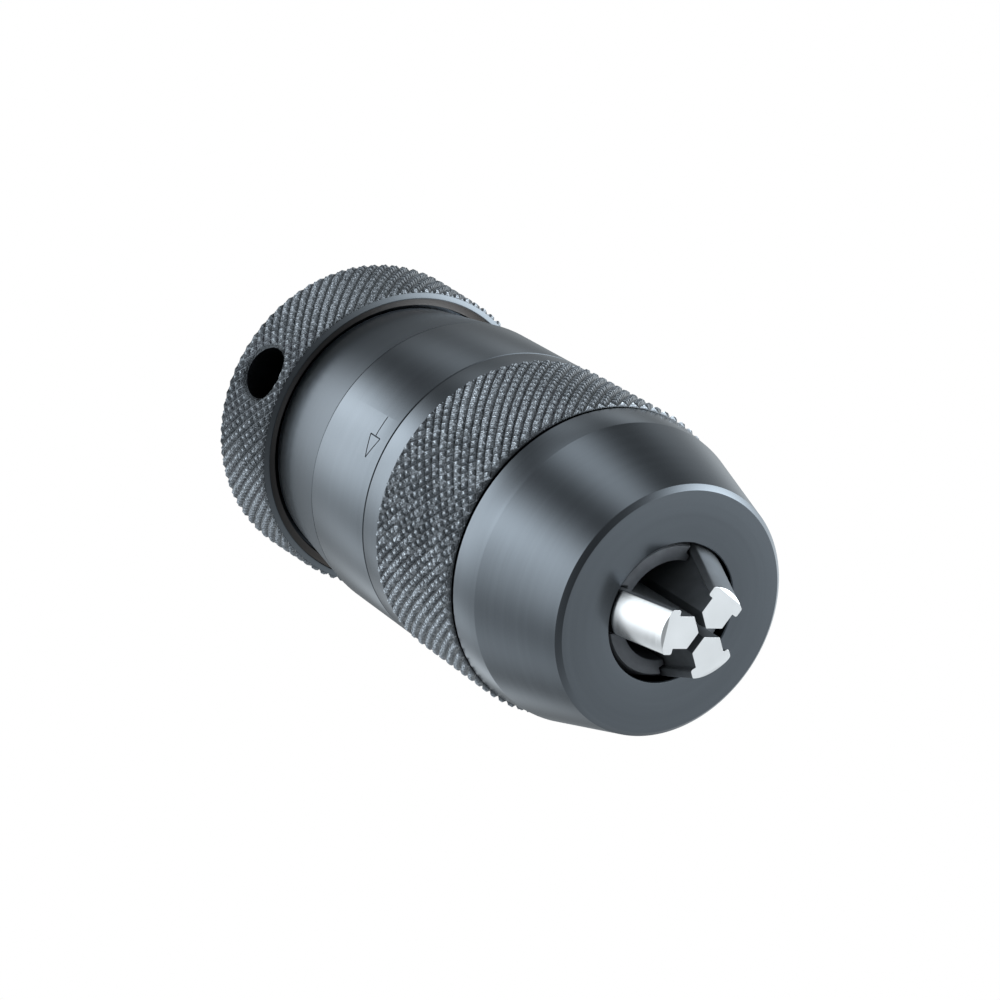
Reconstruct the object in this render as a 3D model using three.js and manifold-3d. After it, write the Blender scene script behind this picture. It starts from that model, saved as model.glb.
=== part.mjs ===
// Keyless drill chuck, 10 mm capacity, with a knurled holding ring at the rear.
// Units are millimetres. +Z runs along the axis from the rear face to the jaws, and Z = 0 is the
// rear face. The spanner hole in the holding ring is on +X.
//
// How it works: the body and the holding ring stay still with the machine's taper. The sleeve,
// nose cone, jaw guide and draw screw turn together. The draw screw has a left-hand thread in the
// body, so turning the sleeve moves it along the axis, and its head pulls the three jaws up or
// down the cone inside the nose.
import * as THREE from 'three';
import { mergeVertices } from 'three/addons/utils/BufferGeometryUtils.js';
import Module from 'manifold-3d';

const wasm = await Module();
wasm.setup();

// ---------------------------------------------------------------- driving dimensions
const GAP = 0.3;
const OUTER_SEGMENTS = 60;
const INNER_SEGMENTS = 48;

// holding ring
const RING_RADIUS = 22.5;
const RING_FRONT_RADIUS = 22.12;
const RING_FACE_RADIUS = 20.98;
const RING_LENGTH = 12.8;
const RING_REAR_CHAMFER = 0.35;
const RING_FRONT_CHAMFER_Z = 11.9;
const RING_BORE = 12.8;
const RING_STEP_RADIUS = 20.85;
const RING_STEP_Z = 12.3;
const RING_RECESS_RADIUS = 19.8;
const RING_RECESS_FLOOR = 11.0;
const SPANNER_HOLE_RADIUS = 3.9;
const SPANNER_HOLE_Z = 6.4;

// sleeve
const SLEEVE_REAR = 11.3;
const SLEEVE_REAR_RADIUS = 19.4;
const SLEEVE_RADIUS = 21.25;
const SLEEVE_TAPER_END = 25.96;
const SLEEVE_GROOVE_Z = 40.27;
const KNURL_START = 44.2;
const KNURL_END = 63.0;
const KNURL_RADIUS = 21.5;
const SLEEVE_BORE = 17.9;
const SLEEVE_SHOULDER_Z = 16.0;
const SLEEVE_SHOULDER_BORE = 13.3;
const SLEEVE_SEAT_Z = 53.7;
const SLEEVE_SEAT_RADIUS = 19.3;

// nose cone
const NOSE_REAR = 58.0;
const NOSE_BAND_START = 63.3;
const NOSE_BAND_RADIUS = 20.98;
const NOSE_BAND_END = 67.8;
const NOSE_CONE_RADIUS = 20.45;
const NOSE_BEVEL_Z = 80.72;
const NOSE_BEVEL_RADIUS = 16.75;
const NOSE_FACE_Z = 81.3;
const NOSE_FACE_RADIUS = 16.08;
const NOSE_SPIGOT_RADIUS = 19.0;
const NOSE_SPIGOT_BORE = 17.3;
const NOSE_MOUTH_RADIUS = 9.25;

// jaws: each slides along a line tilted to the axis by the cone's half angle
const JAW_COUNT = 3;
const FIRST_JAW_DEG = 19;
const CONE_DEG = 22.5;
const CONE_SLOPE = Math.tan(CONE_DEG * Math.PI / 180);
const JAW_TIP_Z = 88.1;
const JAW_OUTER_RADIUS = 6.0;
const JAW_EDGE_RADIUS = 0.68;
const JAW_V_DEG = 60;
const JAW_STEM_HALF = 2.1;
const JAW_FLANGE_HALF = 2.9;
const JAW_FLANGE_INNER = 4.05;
const JAW_TIP_CHAMFER = 5.6;
const JAW_TRIM_RADIUS = 12.5;
const JAW_BAR_REAR = 60.3;
const JAW_NECK_HALF = 1.6;
const JAW_HOOK_HALF = 2.8;
const JAW_HOOK_INNER = 5.2;
const JAW_HOOK_REAR = 55.1;
const JAW_HOOK_FRONT = 57.0;

// jaw guide
const GUIDE_REAR = 54.0;
const GUIDE_RING_FRONT = 57.7;
const GUIDE_RING_RADIUS = 18.9;
const GUIDE_SKIRT_RADIUS = 17.0;
const GUIDE_SKIRT_BORE = 15.8;
const GUIDE_NOTCH_DEPTH = 17.25;
const GUIDE_WEB_REAR = 61.6;
const GUIDE_FRONT = 80.4;
const GUIDE_BORE = 6.6;
const GUIDE_CONE_GAP = 1.2;

// draw screw
const SCREW_REAR = 31.0;
const SCREW_RADIUS = 6.0;
const HEAD_REAR = 52.5;
const HEAD_FRONT = 60.0;
const HEAD_RADIUS = 15.5;
const HEAD_SLOT_INNER = 4.4;

// body: B12 taper socket at the rear, threaded bore at the front
const TAPER_MOUTH_RADIUS = 6.03;
const TAPER_DEPTH = 18.5;
const TAPER_SLOPE = 1 / 40;
const HUB_RADIUS = 12.5;
const SHANK_RADIUS = 13.0;
const FLANGE_REAR = 24.7;
const FLANGE_FRONT = 32.0;
const FLANGE_RADIUS = 17.5;
const BOSS_FRONT = 41.5;
const BOSS_RADIUS = 11.0;
const THREAD_BORE = 6.3;
const THREAD_BORE_FLOOR = 20.3;
const SNAP_GROOVE_RADIUS = 11.6;
const SNAP_GROOVE_REAR = 0.6;
const SNAP_GROOVE_FRONT = 2.1;
const SNAP_RING_RADIUS = 14.9;
const SNAP_RECESS_RADIUS = 15.2;

// thrust bearing
const BALL_COUNT = 16;
const BALL_RADIUS = 1.5;
const BALL_PITCH_RADIUS = 15.45;
const BALL_Z = 20.1;
const POCKET_RADIUS = 1.7;
const CAGE_INNER = 13.3;
const CAGE_OUTER = 17.6;
const CAGE_HALF = 0.9;

// ---------------------------------------------------------------- materials
const oxideSteel = new THREE.MeshStandardMaterial({ color: 0x4a525a, roughness: 0.34, metalness: 1 });
const knurledSteel = new THREE.MeshStandardMaterial({ color: 0x3a4045, roughness: 0.45, metalness: 1 });
const groundSteel = new THREE.MeshStandardMaterial({ color: 0xd9dbdd, roughness: 0.25, metalness: 1 });
const darkSteel = new THREE.MeshStandardMaterial({ color: 0x2f3236, roughness: 0.5, metalness: 1 });
const bearingSteel = new THREE.MeshStandardMaterial({ color: 0xc4c7ca, roughness: 0.2, metalness: 1 });
const springSteel = new THREE.MeshStandardMaterial({ color: 0x55524c, roughness: 0.4, metalness: 1 });
const brass = new THREE.MeshStandardMaterial({ color: 0xb89a55, roughness: 0.35, metalness: 1 });

// ---------------------------------------------------------------- helpers
// A solid of revolution about +Z from [radius, z] points listed anticlockwise.
function revolve(profile, segments) {
  const points = profile.map(([radius, z]) => new THREE.Vector2(radius, z));
  if (profile[0][0] > 0) {
    points.push(points[0].clone());
  }
  const geometry = new THREE.LatheGeometry(points, segments);
  geometry.rotateX(Math.PI / 2);
  return geometry;
}

// A straight prism along +Z from a list of [x, y] points.
function prism(outline, zLow, zHigh) {
  const shape = new THREE.Shape(outline.map(([x, y]) => new THREE.Vector2(x, y)));
  const geometry = new THREE.ExtrudeGeometry(shape, { depth: zHigh - zLow, bevelEnabled: false });
  geometry.translate(0, 0, zLow);
  return geometry;
}

function block(x0, x1, half, z0, z1) {
  return prism([[x0, -half], [x1, -half], [x1, half], [x0, half]], z0, z1);
}

// Tilt a prism so that its sides run parallel to the nose's inner cone at +X.
function tiltToCone(geometry) {
  const shear = new THREE.Matrix4().set(
    1, 0, -CONE_SLOPE, CONE_SLOPE * JAW_TIP_Z,
    0, 1, 0, 0,
    0, 0, 1, 0,
    0, 0, 0, 1,
  );
  geometry.applyMatrix4(shear);
  return geometry;
}

function toSolid(geometry) {
  const bare = geometry.clone();
  bare.deleteAttribute('normal');
  bare.deleteAttribute('uv');
  const welded = mergeVertices(bare, 1e-4);
  const source = welded.index.array;
  const triangles = [];
  for (let i = 0; i < source.length; i += 3) {
    const [a, b, c] = [source[i], source[i + 1], source[i + 2]];
    if (a !== b && b !== c && c !== a) {
      triangles.push(a, b, c);
    }
  }
  return new wasm.Manifold(new wasm.Mesh({
    numProp: 3,
    vertProperties: new Float32Array(welded.attributes.position.array),
    triVerts: new Uint32Array(triangles),
  }));
}

function toGeometry(solid) {
  const mesh = solid.getMesh();
  const geometry = new THREE.BufferGeometry();
  geometry.setAttribute('position', new THREE.BufferAttribute(new Float32Array(mesh.vertProperties), 3));
  geometry.setIndex(new THREE.BufferAttribute(new Uint32Array(mesh.triVerts), 1));
  geometry.computeVertexNormals();
  return geometry;
}

function named(name, geometry, material) {
  const mesh = new THREE.Mesh(geometry, material);
  mesh.name = name;
  return mesh;
}

// The radius of the cone that the jaws slide on, at a height z.
function coneRadius(z) {
  const clearance = GAP / Math.cos(CONE_DEG * Math.PI / 180);
  return JAW_OUTER_RADIUS + clearance + (JAW_TIP_Z - z) * CONE_SLOPE;
}

function coneHeight(radius) {
  return JAW_TIP_Z - (radius - coneRadius(JAW_TIP_Z)) / CONE_SLOPE;
}

function jawAngle(index) {
  return (FIRST_JAW_DEG + index * 360 / JAW_COUNT) * Math.PI / 180;
}

// Take the same cutters out of a solid at each of the three jaw positions.
function cutAtJaws(solid, cutters) {
  let result = solid;
  for (let index = 0; index < JAW_COUNT; index += 1) {
    for (const cutter of cutters) {
      const turned = cutter.clone().rotateZ(jawAngle(index));
      result = result.subtract(toSolid(turned));
    }
  }
  return result;
}

// ---------------------------------------------------------------- fixed parts
function chuckBody() {
  const taperEnd = TAPER_MOUTH_RADIUS - TAPER_DEPTH * TAPER_SLOPE;
  const profile = [
    [0, TAPER_DEPTH],
    [taperEnd, TAPER_DEPTH],
    [TAPER_MOUTH_RADIUS - 0.02, 0.7],
    [TAPER_MOUTH_RADIUS + 0.7, 0],
    [HUB_RADIUS - 0.4, 0],
    [HUB_RADIUS, 0.4],
    [HUB_RADIUS, SNAP_GROOVE_REAR],
    [SNAP_GROOVE_RADIUS, SNAP_GROOVE_REAR],
    [SNAP_GROOVE_RADIUS, SNAP_GROOVE_FRONT],
    [HUB_RADIUS, SNAP_GROOVE_FRONT],
    [HUB_RADIUS, SLEEVE_REAR],
    [SHANK_RADIUS, SLEEVE_REAR],
    [SHANK_RADIUS, FLANGE_REAR],
    [FLANGE_RADIUS, FLANGE_REAR],
    [FLANGE_RADIUS, FLANGE_FRONT - 0.5],
    [FLANGE_RADIUS - 0.5, FLANGE_FRONT],
    [BOSS_RADIUS, FLANGE_FRONT],
    [BOSS_RADIUS, BOSS_FRONT - 0.5],
    [BOSS_RADIUS - 0.5, BOSS_FRONT],
    [THREAD_BORE + 0.7, BOSS_FRONT],
    [THREAD_BORE, BOSS_FRONT - 0.7],
    [THREAD_BORE, THREAD_BORE_FLOOR],
    [0, THREAD_BORE_FLOOR],
  ];
  return named('chuck_body', revolve(profile, INNER_SEGMENTS), darkSteel);
}

function holdingRing() {
  const profile = [
    [SNAP_RECESS_RADIUS, 0],
    [RING_RADIUS - 0.8, 0],
    [RING_RADIUS, RING_REAR_CHAMFER],
    [RING_FRONT_RADIUS, RING_FRONT_CHAMFER_Z],
    [RING_FACE_RADIUS, RING_LENGTH],
    [RING_STEP_RADIUS, RING_LENGTH],
    [RING_STEP_RADIUS, RING_STEP_Z],
    [RING_RECESS_RADIUS, RING_STEP_Z],
    [RING_RECESS_RADIUS, RING_RECESS_FLOOR],
    [RING_BORE, RING_RECESS_FLOOR],
    [RING_BORE, SNAP_GROOVE_FRONT],
    [SNAP_RECESS_RADIUS, SNAP_GROOVE_FRONT],
  ];
  const hole = new THREE.CylinderGeometry(SPANNER_HOLE_RADIUS, SPANNER_HOLE_RADIUS, 14, 32);
  hole.rotateZ(Math.PI / 2);
  hole.translate(18, 0, SPANNER_HOLE_Z);
  const solid = toSolid(revolve(profile, OUTER_SEGMENTS)).subtract(toSolid(hole));
  return named('holding_ring', toGeometry(solid), knurledSteel);
}

// The split ring that keeps the holding ring on the body's hub.
function snapRing() {
  const rear = SNAP_GROOVE_REAR + GAP;
  const front = SNAP_GROOVE_FRONT - GAP;
  const inner = SNAP_GROOVE_RADIUS + GAP;
  const profile = [
    [inner, rear],
    [SNAP_RING_RADIUS, rear],
    [SNAP_RING_RADIUS, front],
    [inner, front],
  ];
  const split = block(-20, -5, 1.8, rear - 1, front + 1);
  const solid = toSolid(revolve(profile, INNER_SEGMENTS)).subtract(toSolid(split));
  return named('snap_ring', toGeometry(solid), springSteel);
}

// ---------------------------------------------------------------- thrust bearing
function race(name, inner, outer, rear, front) {
  const profile = [[inner, rear], [outer, rear], [outer, front], [inner, front]];
  return named(name, revolve(profile, INNER_SEGMENTS), bearingSteel);
}

function ballAngle(index) {
  return index * 2 * Math.PI / BALL_COUNT;
}

function ballCage() {
  const rear = BALL_Z - CAGE_HALF;
  const front = BALL_Z + CAGE_HALF;
  const profile = [
    [CAGE_INNER, rear],
    [CAGE_OUTER, rear],
    [CAGE_OUTER, front],
    [CAGE_INNER, front],
  ];
  let solid = toSolid(revolve(profile, INNER_SEGMENTS));
  for (let index = 0; index < BALL_COUNT; index += 1) {
    const pocket = new THREE.CylinderGeometry(POCKET_RADIUS, POCKET_RADIUS, 6, 18);
    pocket.rotateX(Math.PI / 2);
    pocket.translate(BALL_PITCH_RADIUS, 0, BALL_Z);
    pocket.rotateZ(ballAngle(index));
    solid = solid.subtract(toSolid(pocket));
  }
  return named('ball_cage', toGeometry(solid), brass);
}

function balls() {
  const geometry = new THREE.IcosahedronGeometry(BALL_RADIUS, 1);
  const meshes = [];
  for (let index = 0; index < BALL_COUNT; index += 1) {
    const number = String(index + 1).padStart(2, '0');
    const ball = named(`ball_${number}`, geometry, bearingSteel);
    const angle = ballAngle(index);
    ball.position.set(BALL_PITCH_RADIUS * Math.cos(angle), BALL_PITCH_RADIUS * Math.sin(angle), BALL_Z);
    meshes.push(ball);
  }
  return meshes;
}

// ---------------------------------------------------------------- turning parts
function sleeve() {
  const profile = [
    [SLEEVE_SHOULDER_BORE, SLEEVE_REAR],
    [SLEEVE_REAR_RADIUS - 0.7, SLEEVE_REAR],
    [SLEEVE_REAR_RADIUS - 0.2, SLEEVE_REAR + 0.5],
    [SLEEVE_REAR_RADIUS, RING_LENGTH],
    [SLEEVE_RADIUS, SLEEVE_TAPER_END],
    [SLEEVE_RADIUS, SLEEVE_GROOVE_Z - 0.2],
    [SLEEVE_RADIUS - 0.25, SLEEVE_GROOVE_Z],
    [SLEEVE_RADIUS, SLEEVE_GROOVE_Z + 0.2],
    [SLEEVE_RADIUS, KNURL_START],
    [KNURL_RADIUS, KNURL_START + 0.2],
    [KNURL_RADIUS, KNURL_END],
    [SLEEVE_SEAT_RADIUS, KNURL_END],
    [SLEEVE_SEAT_RADIUS, SLEEVE_SEAT_Z],
    [SLEEVE_BORE, SLEEVE_SEAT_Z],
    [SLEEVE_BORE, SLEEVE_SHOULDER_Z],
    [SLEEVE_SHOULDER_BORE, SLEEVE_SHOULDER_Z],
  ];
  return named('sleeve', revolve(profile, OUTER_SEGMENTS), oxideSteel);
}

function noseCone() {
  const profile = [
    [NOSE_SPIGOT_BORE, NOSE_REAR],
    [NOSE_SPIGOT_RADIUS, NOSE_REAR],
    [NOSE_SPIGOT_RADIUS, NOSE_BAND_START],
    [NOSE_BAND_RADIUS - 0.2, NOSE_BAND_START],
    [NOSE_BAND_RADIUS, NOSE_BAND_START + 0.2],
    [NOSE_CONE_RADIUS, NOSE_BAND_END],
    [NOSE_BEVEL_RADIUS, NOSE_BEVEL_Z],
    [NOSE_FACE_RADIUS, NOSE_FACE_Z],
    [NOSE_MOUTH_RADIUS, NOSE_FACE_Z],
    [NOSE_MOUTH_RADIUS, coneHeight(NOSE_MOUTH_RADIUS)],
    [NOSE_SPIGOT_BORE, coneHeight(NOSE_SPIGOT_BORE)],
  ];
  return named('nose_cone', revolve(profile, OUTER_SEGMENTS), oxideSteel);
}

// Three cone sectors with a T-slot between each pair, joined by a ring at the rear. The skirts
// between the sectors and the ring stay inside the nose cone's spigot.
function jawGuide() {
  const skirtTop = coneHeight(GUIDE_SKIRT_RADIUS + GUIDE_CONE_GAP - GAP);
  const frontRadius = coneRadius(GUIDE_FRONT - 0.3) - GUIDE_CONE_GAP + GAP;
  const profile = [
    [GUIDE_SKIRT_BORE, GUIDE_REAR],
    [GUIDE_RING_RADIUS, GUIDE_REAR],
    [GUIDE_RING_RADIUS, GUIDE_RING_FRONT],
    [GUIDE_SKIRT_RADIUS, GUIDE_RING_FRONT],
    [GUIDE_SKIRT_RADIUS, skirtTop],
    [frontRadius, GUIDE_FRONT - 0.3],
    [frontRadius - 0.25, GUIDE_FRONT],
    [GUIDE_BORE, GUIDE_FRONT],
    [GUIDE_BORE, GUIDE_WEB_REAR],
    [GUIDE_SKIRT_BORE, GUIDE_WEB_REAR],
  ];
  const stemHalf = JAW_STEM_HALF + GAP;
  const flangeHalf = JAW_FLANGE_HALF + GAP;
  const low = GUIDE_RING_FRONT + 0.1;
  const high = GUIDE_FRONT + 1;
  const skirtNotch = block(0, GUIDE_NOTCH_DEPTH, flangeHalf, GUIDE_REAR - 1, GUIDE_WEB_REAR + 0.1);
  const stemSlot = block(0, 20, stemHalf, low, high);
  const flangeSlot = tiltToCone(block(JAW_FLANGE_INNER - GAP, 20, flangeHalf, low, high));
  const cone = toSolid(revolve(profile, INNER_SEGMENTS));
  const solid = cutAtJaws(cone, [skirtNotch, stemSlot, flangeSlot]);
  return named('jaw_guide', toGeometry(solid), darkSteel);
}

// The outline of a jaw's T-shaped outer part, from an inner x out to the rounded back.
function flangeOutline(innerX, half) {
  const outline = [[innerX, -half]];
  const reach = Math.asin(half / JAW_OUTER_RADIUS);
  const steps = 8;
  for (let i = 0; i <= steps; i += 1) {
    const angle = reach * (2 * i / steps - 1);
    outline.push([JAW_OUTER_RADIUS * Math.cos(angle), JAW_OUTER_RADIUS * Math.sin(angle)]);
  }
  outline.push([innerX, half]);
  return outline;
}

function jawShape() {
  const shoulder = JAW_EDGE_RADIUS + JAW_STEM_HALF / Math.tan(JAW_V_DEG * Math.PI / 180);
  const stemOutline = [
    [JAW_EDGE_RADIUS, 0],
    [shoulder, -JAW_STEM_HALF],
    [JAW_TRIM_RADIUS, -JAW_STEM_HALF],
    [JAW_TRIM_RADIUS, JAW_STEM_HALF],
    [shoulder, JAW_STEM_HALF],
  ];
  const stem = toSolid(prism(stemOutline, JAW_BAR_REAR, JAW_TIP_Z));
  const backOutline = flangeOutline(-20, JAW_FLANGE_HALF);
  const back = toSolid(tiltToCone(prism(backOutline, JAW_BAR_REAR - 1, JAW_TIP_Z + 1)));
  const outline = flangeOutline(JAW_FLANGE_INNER, JAW_FLANGE_HALF);
  const flange = toSolid(tiltToCone(prism(outline, JAW_BAR_REAR, JAW_TIP_Z)));
  const trim = toSolid(block(-1, JAW_TRIM_RADIUS, 5, JAW_BAR_REAR - 1, JAW_TIP_Z + 1));
  const bar = stem.intersect(back).add(flange.intersect(trim));
  const [tailIn, tailOut] = [JAW_HOOK_INNER, JAW_TRIM_RADIUS];
  const neck = toSolid(block(tailIn, tailOut, JAW_NECK_HALF, JAW_HOOK_FRONT, JAW_BAR_REAR));
  const hook = toSolid(block(tailIn, tailOut, JAW_HOOK_HALF, JAW_HOOK_REAR, JAW_HOOK_FRONT));
  const chamfer = prism([[0, 0], [4, 0], [4, -4]], -5, 5);
  chamfer.rotateX(Math.PI / 2);
  chamfer.translate(JAW_TIP_CHAMFER, 0, JAW_TIP_Z + 0.001);
  return toGeometry(bar.add(neck).add(hook).subtract(toSolid(chamfer)));
}

function jaws() {
  const geometry = jawShape();
  const meshes = [];
  for (let index = 0; index < JAW_COUNT; index += 1) {
    const jaw = named(`jaw_${index + 1}`, geometry, groundSteel);
    jaw.rotation.z = jawAngle(index);
    meshes.push(jaw);
  }
  return meshes;
}

// The draw screw: its head has a radial T-slot for the hooked tail of each jaw.
function drawScrew() {
  const profile = [
    [0, SCREW_REAR],
    [SCREW_RADIUS - 0.6, SCREW_REAR],
    [SCREW_RADIUS, SCREW_REAR + 0.6],
    [SCREW_RADIUS, HEAD_REAR],
    [HEAD_RADIUS - 0.4, HEAD_REAR],
    [HEAD_RADIUS, HEAD_REAR + 0.4],
    [HEAD_RADIUS, HEAD_FRONT - 0.4],
    [HEAD_RADIUS - 0.4, HEAD_FRONT],
    [0, HEAD_FRONT],
  ];
  const shoulder = JAW_HOOK_FRONT + GAP;
  const neckSlot = block(HEAD_SLOT_INNER, 20, JAW_NECK_HALF + GAP, shoulder - 0.1, HEAD_FRONT + 1);
  const hookSlot = block(HEAD_SLOT_INNER, 20, JAW_HOOK_HALF + GAP, JAW_HOOK_REAR - GAP, shoulder);
  const solid = cutAtJaws(toSolid(revolve(profile, INNER_SEGMENTS)), [neckSlot, hookSlot]);
  return named('draw_screw', toGeometry(solid), groundSteel);
}

// ---------------------------------------------------------------- assembly
const chuck = new THREE.Group();
chuck.name = 'drill_chuck';
chuck.add(chuckBody());
chuck.add(holdingRing());
chuck.add(snapRing());
chuck.add(race('front_race', 13.3, 17.4, 21.9, 24.4));
chuck.add(race('rear_race', 13.6, 17.6, 16.3, 18.3));
chuck.add(ballCage());
chuck.add(...balls());
chuck.add(sleeve());
chuck.add(noseCone());
chuck.add(jawGuide());
chuck.add(...jaws());
chuck.add(drawScrew());

export default chuck;
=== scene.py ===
"""Looks of a keyless drill chuck with a knurled sleeve and holding ring.

Lengths are in millimetres until a mesh is made, and the frame's own boxes give the main sizes.
The chuck's axis is +Z, its rear face is at z = 0, and the spanner hole is on +X.
"""

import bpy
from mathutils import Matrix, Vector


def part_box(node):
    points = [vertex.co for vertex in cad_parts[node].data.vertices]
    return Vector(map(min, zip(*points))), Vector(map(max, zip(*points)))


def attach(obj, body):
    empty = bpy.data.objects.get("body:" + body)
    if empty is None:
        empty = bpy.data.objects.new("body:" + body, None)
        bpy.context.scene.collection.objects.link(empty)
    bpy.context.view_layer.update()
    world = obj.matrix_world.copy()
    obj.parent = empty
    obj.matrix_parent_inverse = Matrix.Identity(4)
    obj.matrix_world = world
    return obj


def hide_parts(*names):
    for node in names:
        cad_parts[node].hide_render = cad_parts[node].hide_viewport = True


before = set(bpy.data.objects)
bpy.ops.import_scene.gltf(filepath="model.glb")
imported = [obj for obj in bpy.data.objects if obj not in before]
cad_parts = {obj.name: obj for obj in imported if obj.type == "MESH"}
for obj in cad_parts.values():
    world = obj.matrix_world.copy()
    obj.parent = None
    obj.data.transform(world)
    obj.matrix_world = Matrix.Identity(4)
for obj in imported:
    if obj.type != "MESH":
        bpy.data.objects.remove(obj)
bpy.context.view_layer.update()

import math
import random

import bmesh
import bpy
from mathutils import Matrix, Vector

MM = 0.001
TURN = 2 * math.pi


def turned_size(node):
    """Outer radius, rear and front of a turned node."""
    low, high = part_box(node)
    return high.x / MM, low.z / MM, high.z / MM


# ------------------------------------------------------------------ sizes
RING_CREST, RING_REAR, RING_FRONT = turned_size("holding_ring")
SLEEVE_CREST, SLEEVE_REAR, SLEEVE_FRONT = turned_size("sleeve")
NOSE_RADIUS, NOSE_REAR, NOSE_FRONT = turned_size("nose_cone")
GUIDE_RADIUS, GUIDE_REAR, GUIDE_FRONT = turned_size("jaw_guide")
JAW_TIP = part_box("jaw_1")[1].z / MM

SMOOTH_SEGMENTS = 360
INNER_SEGMENTS = 180
SHARP_ANGLE = math.radians(33)
JAW_SHARP_ANGLE = math.radians(18)

# Each diamond of the knurl goes from a narrow flat valley up to a small, dished top. The levels are
# (width as a share of the cell, height as a share of the depth).
KNURL_LEVELS = [(1.0, 0.0), (0.9, 0.04), (0.5, 0.72), (0.34, 1.0), (0.16, 0.8)]
KNURL_UNEVEN = 0.04
# The plain metal under a knurled skin lies this far below the knurl's valleys.
CORE_DEPTH = 0.15

RING_KNURL = {"count": 78, "pitch": 2.0, "offset": 0.0, "crest": RING_CREST, "depth": 0.48,
              "taper": -0.032}
RING_HOLE_Z = 6.4
RING_HOLE_RADIUS = 3.9
RING_HOLE_STEP = 20.7
RING_BORE = 12.8
RING_SNAP_RADIUS = 15.2
RING_SNAP_DEPTH = 2.1
RING_STEP_RADIUS = 20.85
RING_STEP_Z = 12.3
RING_RECESS_RADIUS = 19.8
RING_RECESS_FLOOR = 11.0
RING_FACE_RADIUS = 20.98
RING_CHAMFER_RADIUS = 21.85
RING_CHAMFER_Z = 12.4

SLEEVE_KNURL = {"count": 78, "pitch": 1.84, "offset": 0.35, "crest": SLEEVE_CREST, "depth": 0.46,
                "taper": 0.0}
SLEEVE_RADIUS = 21.25
SLEEVE_TAPER_REAR = 19.31
SLEEVE_BORE = 17.9
SLEEVE_REAR_BORE = 13.3
SLEEVE_SEAT = 19.3
SLEEVE_SEAT_REAR = 53.7
SLEEVE_WEB_FRONT = 16.0
SLEEVE_TAPER_END = 25.96
SLEEVE_GROOVE_Z = 40.35
SLEEVE_KNURL_START = 44.1

CONE_ANGLE = math.radians(22.5)
CONE_SLOPE = math.tan(CONE_ANGLE)
JAW_ANGLES = [math.radians(19 + 120 * index) for index in range(3)]
JAW_OUTER = 6.0
JAW_EDGE = 0.68
JAW_STEM_HALF = 2.1
JAW_FLANGE_HALF = 2.9
JAW_FLANGE_INNER = 4.05
JAW_TIP_CHAMFER = 5.6
JAW_CHAMFER_NORMAL = (0.4, 0, 0.92)
JAW_TRIM_RADIUS = 12.5
JAW_BAR_REAR = 60.3
GAP = 0.3


# ------------------------------------------------------------------ mesh helpers
def new_object(name, vertices, faces):
    """A mesh object from vertices in millimetres."""
    mesh = bpy.data.meshes.new(name)
    mesh.from_pydata([(x * MM, y * MM, z * MM) for x, y, z in vertices], [], faces)
    mesh.update()
    obj = bpy.data.objects.new(name, mesh)
    bpy.context.scene.collection.objects.link(obj)
    return obj


def rounded(corners, steps=4):
    """Outline points from (a, b, radius) corners, each corner replaced by an arc of its radius."""
    points = []
    for index, (a, b, radius) in enumerate(corners):
        corner = Vector((a, b))
        if radius <= 0:
            points.append((a, b))
            continue
        before = Vector(corners[index - 1][:2]) - corner
        after = Vector(corners[(index + 1) % len(corners)][:2]) - corner
        half = before.angle(after) / 2
        bisector = (before.normalized() + after.normalized()).normalized()
        centre = corner + bisector * radius / math.sin(half)
        start = corner + before.normalized() * radius / math.tan(half) - centre
        end = corner + after.normalized() * radius / math.tan(half) - centre
        sweep = start.angle_signed(end)
        for step in range(steps + 1):
            spoke = start.copy()
            spoke.rotate(Matrix.Rotation(-sweep * step / steps, 2))
            points.append(tuple(centre + spoke))
    return points


def lathe(name, corners, segments=SMOOTH_SEGMENTS, steps=4):
    """A closed outline of (radius, z, corner radius), listed anticlockwise, turned about the axis."""
    outline = rounded([corner if len(corner) == 3 else (*corner, 0) for corner in corners], steps)
    vertices = []
    rings = []
    for radius, z in outline:
        if radius < 1e-6:
            rings.append([len(vertices)] * segments)
            vertices.append((0, 0, z))
            continue
        rings.append(range(len(vertices), len(vertices) + segments))
        for step in range(segments):
            angle = TURN * step / segments
            vertices.append((radius * math.cos(angle), radius * math.sin(angle), z))
    faces = []
    for index, low in enumerate(rings):
        high = rings[(index + 1) % len(rings)]
        if low[0] == low[1] and high[0] == high[1]:
            continue
        for step in range(segments):
            after = (step + 1) % segments
            quad = [low[step], low[after], high[after], high[step]]
            faces.append(list(dict.fromkeys(quad)))
    return new_object(name, vertices, faces)


def loft(name, sections):
    """A closed solid through sections, lists of as many (x, y, z) points each, listed anticlockwise."""
    count = len(sections[0])
    vertices = [point for section in sections for point in section]
    faces = [list(range(count))[::-1], list(range(len(vertices) - count, len(vertices)))]
    for level in range(len(sections) - 1):
        start = level * count
        for index in range(count):
            after = (index + 1) % count
            faces.append([start + index, start + after, start + count + after, start + count + index])
    return new_object(name, vertices, faces)


def block(x0, x1, half, z0, z1, lean=0.0):
    """A box across +X. With a lean, its sides follow the cone that the jaws slide on."""
    corners = ((x0, -half), (x1, -half), (x1, half), (x0, half))
    sections = []
    for z in (z0, z1):
        shift = lean * (JAW_TIP - z)
        sections.append([(x + shift, y, z) for x, y in corners])
    return loft("block", sections)


def rod(radii, stations, segments=64):
    """A round bar along +X with the given radius at each station, centred on the spanner hole."""
    sections = []
    for radius, x in zip(radii, stations):
        angles = [TURN * step / segments for step in range(segments)]
        sections.append([(x, radius * math.cos(a), RING_HOLE_Z + radius * math.sin(a)) for a in angles])
    return loft("rod", sections)


def direction(azimuth, elevation):
    a, e = math.radians(azimuth), math.radians(elevation)
    return Vector((math.cos(e) * math.cos(a), math.cos(e) * math.sin(a), math.sin(e)))


def turned_about_axis(obj, angle):
    obj.data.transform(Matrix.Rotation(angle, 4, "Z"))
    return obj


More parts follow.
